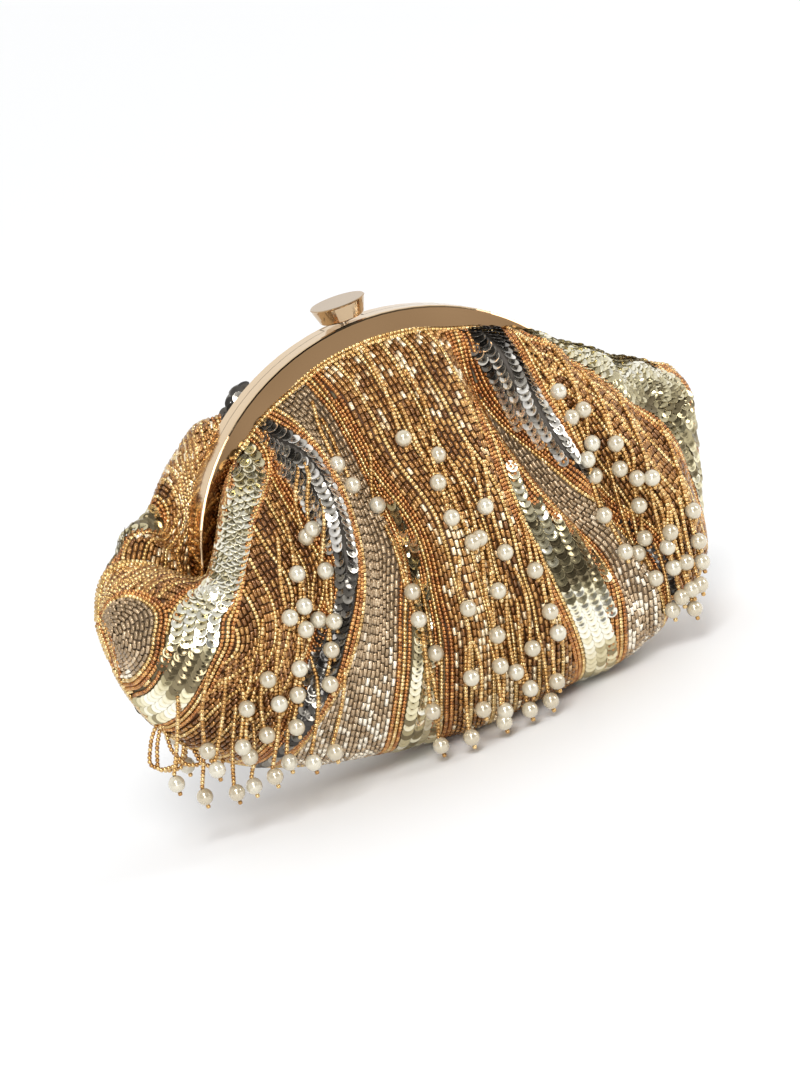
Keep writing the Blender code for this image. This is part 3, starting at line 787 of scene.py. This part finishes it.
# The net takes a colour near that of the beads that cover it.
NET_TINT = {"amber": 0.0, "gunmetal": 0.33, "gold": 0.67, "champagne": 1.0}
NET = new_material("net_cloth", (0.24, 0.11, 0.04), 0.0, 0.6)
ramp_colour(
    NET,
    tint_of(NET),
    [
        (0.0, (0.12, 0.045, 0.012)), (0.33, (0.10, 0.085, 0.07)),
        (0.67, (0.26, 0.21, 0.11)), (1.0, (0.30, 0.21, 0.13)),
    ],
)
bump_of(NET, noise_of(NET, 900.0), 0.4, 0.0003)
SATIN = new_material("satin", (0.62, 0.50, 0.36), 0.0, 0.42, Sheen_Weight=0.4)
ramp_colour(SATIN, noise_of(SATIN, 60.0), [(0.3, (0.50, 0.38, 0.25)), (0.7, (0.62, 0.50, 0.36))])
bump_of(SATIN, noise_of(SATIN, 900.0, 2.0, (1, 1, 0.1)), 0.3, 0.0002)


def frame_gold_with_painted_face_reflection():
    """Champagne gold on the outer band, and a much darker gold on the two flat faces as a painted reflection,
    told apart by |y|.
    """
    material = new_material("frame_gold", (0.72, 0.50, 0.31), 1.0, 0.11)
    tree = material.node_tree
    place = tree.nodes.new("ShaderNodeTexCoord")
    split = tree.nodes.new("ShaderNodeSeparateXYZ")
    size = tree.nodes.new("ShaderNodeMath")
    size.operation = "ABSOLUTE"
    mask = tree.nodes.new("ShaderNodeMapRange")
    mask.inputs["From Min"].default_value = 0.00625
    mask.inputs["From Max"].default_value = 0.00645
    tree.links.new(place.outputs["Object"], split.inputs[0])
    tree.links.new(split.outputs["Y"], size.inputs[0])
    tree.links.new(size.outputs[0], mask.inputs["Value"])
    colours = []
    for stops in (
        [(0.25, (0.72, 0.52, 0.31)), (0.75, (0.86, 0.66, 0.43))],
        # Painted reflection: the faces' dark tones stand in for the dark surroundings that they mirror.
        [(0.25, (0.16, 0.093, 0.042)), (0.75, (0.30, 0.185, 0.095))],
    ):
        ramp = ramp_colour(material, noise_of(material, 16.0, 1.0), stops)
        colours.append(ramp.outputs["Color"])
    mix = tree.nodes.new("ShaderNodeMix")
    mix.data_type = "RGBA"
    tree.links.new(mask.outputs["Result"], mix.inputs["Factor"])
    tree.links.new(colours[0], mix.inputs["A"])
    tree.links.new(colours[1], mix.inputs["B"])
    tree.links.new(mix.outputs["Result"], tree.nodes["Principled BSDF"].inputs["Base Color"])
    return material


GOLD = frame_gold_with_painted_face_reflection()
KNOB = new_material("knob_gold", (0.75, 0.56, 0.38), 1.0, 0.1)
ramp_colour(KNOB, noise_of(KNOB, 30.0, 2.0), [(0.2, (0.50, 0.36, 0.22)), (0.8, (0.58, 0.43, 0.275))])
STEEL = new_material("fitting_steel", (0.62, 0.58, 0.52), 1.0, 0.35)
ramp_colour(STEEL, noise_of(STEEL, 400.0), [(0.3, (0.52, 0.48, 0.42)), (0.7, (0.66, 0.62, 0.56))])
CARD = new_material("base_card", (0.40, 0.32, 0.24), 0.0, 0.8)
ramp_colour(CARD, noise_of(CARD, 500.0), [(0.3, (0.34, 0.27, 0.20)), (0.7, (0.46, 0.38, 0.30))])
PAPER = new_material("paper_cord", (0.62, 0.52, 0.38), 0.0, 0.85)
ramp_colour(PAPER, noise_of(PAPER, 700.0), [(0.3, (0.52, 0.42, 0.30)), (0.7, (0.68, 0.58, 0.44))])


def dress_cad(names, material):
    for name in names:
        obj = bpy.data.objects[name]
        for place in obj.material_slots:
            place.material = material


# ---------------------------------------------------------------- build one side
def grid_faces(rows, columns):
    i, j = np.meshgrid(np.arange(rows - 1), np.arange(columns - 1), indexing="ij")
    corner = (i * columns + j).ravel()
    return np.stack([corner, corner + columns, corner + columns + 1, corner + 1], 1)


def net_tint(pouch):
    """Which stripe each point of the cloth's grid lies in, as the net's tint."""
    rows = border_lines(pouch.side, pouch.v)
    stripe = (pouch.x[:, None, None] > rows[None, 1:-1]).sum(1)
    return np.array([NET_TINT[kind] for kind in KINDS[pouch.side]])[stripe]


RIM_PITCH, RIM_LIFT = 1.46, 0.9


def lay_rims(pouch):
    """Rows of small gold beads along the cloth's four edges: places, the way each row runs, and normals."""
    edge = np.linspace(-119.4, 119.4, 1600)
    down = np.linspace(0.01, 0.99, 600)
    lines = [(edge, np.full_like(edge, v)) for v in (0.004, 0.0145, 0.984, 0.995)]
    lines += [(np.full_like(down, x), down) for x in (-119.7, 119.7)]
    places, ways, normals = [], [], []
    for x, v in lines:
        run = run_along(pouch.at(x, v))
        at = np.arange(0.7, run[-1], RIM_PITCH)
        x, v = np.interp(at, run, x), np.interp(at, run, v)
        normal = unit(pouch.at(x, v, pouch.n))
        places.append(pouch.at(x, v) + normal * RIM_LIFT)
        ways.append(unit(np.gradient(places[-1], axis=0)))
        normals.append(normal)
    return np.concatenate(places), np.concatenate(ways), np.concatenate(normals)


# Front sequin runs, partly own tone, partly painted light and shade of folds: (v, tone) by stripe place in
# KINDS.
SEQUIN_RUNS_WITH_PAINTED_LIGHT = {
    2: [
        (0, 0.55), (0.1, 0.85), (0.2, 1.0), (0.28, 0.9), (0.34, 1.05), (0.38, 0.9), (0.43, 0.1), (0.56, 0.08),
        (0.62, 0.5), (1, 0.5),
    ],
    4: [(0, 0.05), (0.06, 0.35), (0.12, 0.7), (0.25, 0.85), (0.36, 0.6), (0.45, 0.2), (0.8, 0.3), (1, 0.25)],
    6: [(0, 0.4), (0.5, 0.4), (0.7, 0.7), (0.8, 0.6), (0.88, 0.3), (0.94, 0.8), (1, 0.8)],
    8: [
        (0, 0.8), (0.25, 0.95), (0.32, 0.85), (0.4, 0.6), (0.5, 0.5), (0.56, 0.1), (0.62, 0.1), (0.66, 0.9),
        (0.76, 0.95), (0.8, 0.55), (0.86, 0.5), (0.9, 0.8), (1, 0.8),
    ],
    10: [(0, 0.05), (0.06, 0.2), (0.12, 0.45), (0.18, 0.65), (0.25, 0.85), (0.32, 0.7), (0.4, 0.4), (1, 0.3)],
    12: [
        (0, 0.25), (0.04, 0.4), (0.09, 0.8), (0.14, 0.7), (0.2, 0.35), (0.3, 0.25), (0.45, 0.2), (0.6, 0.4),
        (1, 0.45),
    ],
}


def sequin_tone_with_painted_light(pouch, x, v):
    """How light each sequin is: by its stripe's runs on the front, partly painted light and shade, in waves
    on the rear.
    """
    tone = 0.5 + 0.4 * np.sin(19 * v + 0.05 * x)
    if pouch.side < 0:
        rows = border_lines(pouch.side, v)[1:-1]
        stripe = (x[None] > rows).sum(0)
        for place, knots in SEQUIN_RUNS_WITH_PAINTED_LIGHT.items():
            tone = np.where(stripe == place, along_knots(v, knots), tone)
    return np.clip(tone + rng.normal(0, 0.24, len(x)), 0, 1)


def amber_tone_with_painted_light(x, v):
    """Added amber tone: a lighter, golden patch on the middle fold, painted glints below the frame, painted
    shade left of x = -48, darker right of x = 48.
    """
    centre = -6 + 8 * v
    fold = 0.34 * np.exp(-(((x - centre) / 9) ** 2)) * np.clip((v - 0.3) / 0.15, 0, 1)
    return fold + 0.24 * np.exp(-((v / 0.1) ** 2)) - 0.06 - 0.2 * (x < -48) - 0.12 * (x > 48)


# Template, size (length and two radii), material, and height above the cloth.
BEAD_LOOKS = {
    "cord": (SEED, (1.36, 0.86, 0.86), COPPER, 0.5),
    "cord_gold": (SEED, (1.36, 0.86, 0.86), PALE_GOLD, 0.5),
    "amber": (BUGLE, (2.8, 0.76, 0.76), AMBER, 0.4),
    "champagne": (BUGLE, (2.8, 0.76, 0.76), CHAMPAGNE, 0.4),
}
SEQUIN_RADIUS, SEQUIN_LIFT = 2.3, 0.9
LINING_INSET = 2.9  # from the cloth's grid to the lining


def build_side(pouch, word):
    """The cloth of one side with all that is sewn on it, and its lining."""

    def keep(obj, slot):
        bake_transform(obj)
        return obj

    cloth = (pouch.p - pouch.n * 0.5)[::2, ::2]
    quads = grid_faces(*cloth.shape[:2])
    tint = net_tint(pouch)[::2, ::2].ravel()
    sheet = keep(make_mesh(f"{word}_cloth", cloth.reshape(-1, 3), quads, NET, tint), "beaded_panel")
    laid = lay_beads(pouch)
    for kind, (template, size, material, lift) in BEAD_LOOKS.items():
        places, along, normal = frames_at(pouch, laid[kind], lift)
        along = unit(along + rng.normal(0, 0.07, along.shape))
        tone = rng.random(len(places))
        # Painted light: champagne beads are lighter, with more glinting ones, toward the bottom seam and
        # darker above, standing in for light thrown up by the floor.
        if kind == "champagne":
            tone = np.clip(tone + 1.1 * (laid[kind][:, 1] - 0.64), 0, 1)
        # Painted highlight below the frame and painted shade at the left end of the front's amber beads.
        if kind == "amber" and pouch.side < 0:
            tone = np.clip(tone + amber_tone_with_painted_light(laid[kind][:, 0], laid[kind][:, 1]), 0, 1)
        name = f"{word}_{kind}_beads"
        keep(scatter(name, template, places, along, normal, size, material, tone), "beaded_panel")
    # Each sequin leans on the next one of its thread.
    for kind, material in (("gold", GOLD_SEQUIN), ("gunmetal", GUN_SEQUIN)):
        places, along, normal = frames_at(pouch, laid[kind], SEQUIN_LIFT)
        tilt = np.radians(rng.uniform(12, 19, len(places)))[:, None]
        roll = np.radians(rng.normal(0, 4, len(places)))[:, None]
        side = np.cross(normal, along)
        turned_along = along * np.cos(tilt) + normal * np.sin(tilt)
        up = normal * np.cos(tilt) - along * np.sin(tilt)
        up = up * np.cos(roll) + side * np.sin(roll)
        tone = sequin_tone_with_painted_light(pouch, laid[kind][:, 0], laid[kind][:, 1])
        size = (SEQUIN_RADIUS, SEQUIN_RADIUS, SEQUIN_RADIUS)
        name = f"{word}_{kind}_sequins"
        sequins = scatter(name, SEQUIN, places, turned_along, up, size, material, tone, SEQUIN_PAINTED_SHADE)
        keep(sequins, "beaded_panel")
    places, along, normal = lay_rims(pouch)
    size = (1.4, 0.9, 0.9)
    rim = keep(scatter(f"{word}_rim_beads", SEED, places, along, normal, size, PALE_GOLD), "piping")
    beads, ways, pearls, stops = hang_strands(pouch)
    out = np.zeros_like(beads)
    out[:, 1] = pouch.side
    size = (1.38, 0.84, 0.84)
    strands = keep(scatter(f"{word}_strands", SEED, beads, ways, out, size, STRAND), "fringe")
    down = np.tile([0.0, 0.0, -1.0], (len(pearls), 1))
    ahead = np.tile([0.0, float(pouch.side), 0.0], (len(pearls), 1))
    keep(scatter(f"{word}_pearls", ball(), pearls, down, ahead, (PEARL, PEARL, PEARL), PEARLS), "fringe")
    keep(scatter(f"{word}_stops", SEED, stops, down, ahead, (1.4, 0.85, 0.85), STRAND), "fringe")
    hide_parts(f"{word}_panel_lower", f"{word}_panel_upper")
    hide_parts(f"{word}_fringe_left", f"{word}_fringe_middle", f"{word}_fringe_right")
    if pouch.side < 0:
        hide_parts("side_piping_left", "side_piping_right")
    across, down = slice(20, -20, 3), slice(0, int(0.975 * pouch.NV), 3)
    lining = pouch.p[across, down] - LINING_INSET * pouch.n[across, down]
    seam = np.clip((0.97 - pouch.v[down]) / 0.04, 0, 1)  # the two linings meet at the bottom
    lining[..., 1] = pouch.side * np.maximum(pouch.side * lining[..., 1], 0.6) * seam
    quads = grid_faces(*lining.shape[:2])
    inner = make_mesh(f"{word}_lining_cloth", lining.reshape(-1, 3), quads, SATIN)
    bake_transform(inner)
    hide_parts(f"{word}_lining_upper", "lining_lower")


front = Pouch(-1, FRONT_PLEATS)
rear = Pouch(1, REAR_PLEATS)
build_side(front, "front")
build_side(rear, "rear")


def build_pocket():
    """A patch pocket on the rear lining: sewn down at three edges, its top edge standing off a little."""
    half, low, high = 34, 21, 55
    x, z = np.meshgrid(np.linspace(-half, half, 69), np.linspace(low, high, 35), indexing="ij")
    wall = softened(rear.stands_out(x, z) - 4.2, 8)
    gape = 2.6 * np.sin(np.pi * (x + half) / (2 * half)) * ((z - low) / (high - low)) ** 2
    points = np.stack([x, wall - 0.4 - gape, z], -1)
    pocket = make_mesh("pocket_cloth", points.reshape(-1, 3), grid_faces(*x.shape), SATIN)
    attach(pocket, "pouch")
    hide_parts("slip_pocket")


build_pocket()


def build_gusset(end, side):
    """A strip of lining past a hinge, from one half's edge down to the fold that it shares with its twin.

    The two strips are built lying together, as when the bag is shut.
    """
    x, up = np.meshgrid(np.linspace(84, 118.5, 36), np.linspace(0, 1, 8), indexing="ij")
    top = along_knots(end * x, TOP_Z) - 0.6
    deep = np.minimum(11.0, (120.5 - x) * 1.1)
    points = np.stack([drawn_in(end * x, top), 0.35 * side * up, top - deep * (1 - up)], -1)
    word = "front" if side < 0 else "rear"
    hand = "left" if end < 0 else "right"
    gusset = make_mesh(f"{word}_gusset_{hand}", points.reshape(-1, 3), grid_faces(*x.shape), SATIN)
    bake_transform(gusset)


for end in (-1, 1):
    for side in (-1, 1):
        build_gusset(end, side)


# ---------------------------------------------------------------- clasp spring
def build_spring():
    """The clasp's spring on the housing's floor: the collar above it comes down with the knob."""
    low, high = 148.1, 150.8
    wire, radius = 0.2, 2.2
    turns, sides = 2.6, 8
    share = np.linspace(0, 1, 72)
    angle = 2 * np.pi * turns * share
    out = np.stack([np.cos(angle), np.sin(angle), 0 * angle], 1)
    centre = radius * out
    centre[:, 2] = low + wire + (high - low - 2 * wire) * share
    up = unit(np.cross(np.gradient(centre, axis=0), out))
    thick = wire * np.clip(np.minimum(share, 1 - share) / 0.004, 0.02, 1)[:, None, None]
    turn = 2 * np.pi * np.arange(sides + 1) / sides
    ring = out[:, None] * np.cos(turn)[None, :, None] + up[:, None] * np.sin(turn)[None, :, None]
    points = centre[:, None] + thick * ring
    spring = make_mesh("clasp_wire", points.reshape(-1, 3), grid_faces(*points.shape[:2]), STEEL)
    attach(spring, "front_half")
    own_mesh(spring)
    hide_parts("clasp_spring")


build_spring()


# ---------------------------------------------------------------- CAD nodes that stay
dress_cad(["front_frame", "rear_frame", "hinge_pin_left", "hinge_pin_right"], GOLD)
dress_cad(["clasp_knob"], KNOB)
dress_cad(
    ["clasp_stem", "clasp_housing", "latch_plate", "stem_clip", "catch_plate",
     "hinge_washer_left", "hinge_washer_right"],
    STEEL,
)
dress_cad(["base_card"], CARD)
dress_cad(["front_cord_left", "front_cord_right", "rear_cord_left", "rear_cord_right"], PAPER)


# ---------------------------------------------------------------- stage and light
def add_stage():
    floor_material = new_material("floor", (0.945, 0.955, 0.965), 0.0, 0.6)
    size = 6000.0
    points = [(-size, -size, -0.05), (size, -size, -0.05), (size, size, -0.05), (-size, size, -0.05)]
    floor = make_mesh("floor", points, [(0, 1, 2, 3)], floor_material)


def aim(obj, place, target):
    place, target = np.array(place, float), np.array(target, float)
    back = unit(place - target)
    right = unit(np.cross([0, 0, 1.0], back))
    matrix = np.eye(4)
    matrix[:3, 0], matrix[:3, 1], matrix[:3, 2], matrix[:3, 3] = right, np.cross(back, right), back, place
    obj.matrix_world = [list(row) for row in matrix.T]
    bpy.context.scene.collection.objects.link(obj)


def area_light(name, place, size, power):
    light = bpy.data.lights.new(name, "AREA")
    light.shape = "RECTANGLE"
    light.size, light.size_y = size
    light.energy = power
    aim(bpy.data.objects.new(name, light), place, (0, 0, 0.08))


def sun_light(name, place, strength, width):
    light = bpy.data.lights.new(name, "SUN")
    light.energy = strength
    light.angle = math.radians(width)
    aim(bpy.data.objects.new(name, light), place, (0, 0, 0))


def add_world():
    """A pale room: white behind and above the bag, greyer in front of it."""
    world = bpy.data.worlds.new("studio")
    bpy.context.scene.world = world
    world.use_nodes = True
    tree = world.node_tree
    place = tree.nodes.new("ShaderNodeTexCoord")
    split = tree.nodes.new("ShaderNodeSeparateXYZ")
    ramp = tree.nodes.new("ShaderNodeValToRGB")
    shift = tree.nodes.new("ShaderNodeMath")
    shift.operation = "MULTIPLY_ADD"
    shift.inputs[1].default_value = 0.5
    shift.inputs[2].default_value = 0.5
    ramp.color_ramp.interpolation = "EASE"
    ramp.color_ramp.elements[0].position = 0.25
    ramp.color_ramp.elements[0].color = (0.40, 0.39, 0.38, 1)
    ramp.color_ramp.elements[1].position = 0.7
    ramp.color_ramp.elements[1].color = (1.0, 1.0, 1.0, 1)
    facing = tree.nodes.new("ShaderNodeVectorMath")
    facing.operation = "DOT_PRODUCT"
    facing.inputs[1].default_value = (0.18, -0.96, 0.2)
    dim = tree.nodes.new("ShaderNodeMapRange")
    dim.interpolation_type = "SMOOTHSTEP"
    dim.inputs["From Min"].default_value = 0.84
    dim.inputs["From Max"].default_value = 0.95
    dim.inputs["To Min"].default_value = 0.95
    dim.inputs["To Max"].default_value = 0.1
    tree.links.new(place.outputs["Generated"], split.inputs[0])
    tree.links.new(split.outputs["Y"], shift.inputs[0])
    tree.links.new(shift.outputs[0], ramp.inputs["Fac"])
    tree.links.new(place.outputs["Generated"], facing.inputs[0])
    tree.links.new(facing.outputs["Value"], dim.inputs["Value"])
    tree.links.new(ramp.outputs["Color"], tree.nodes["Background"].inputs["Color"])
    tree.links.new(dim.outputs["Result"], tree.nodes["Background"].inputs["Strength"])


add_stage()
add_world()
sun_light("key", (-0.28, -0.8, 0.95), 1.6, 25)
area_light("side", (0.9, -0.5, 0.5), (0.35, 0.5), 4.0)
area_light("front", (-0.5, -1.2, 0.35), (0.25, 0.6), 4.5)
bpy.context.scene.view_settings.view_transform = "Standard"
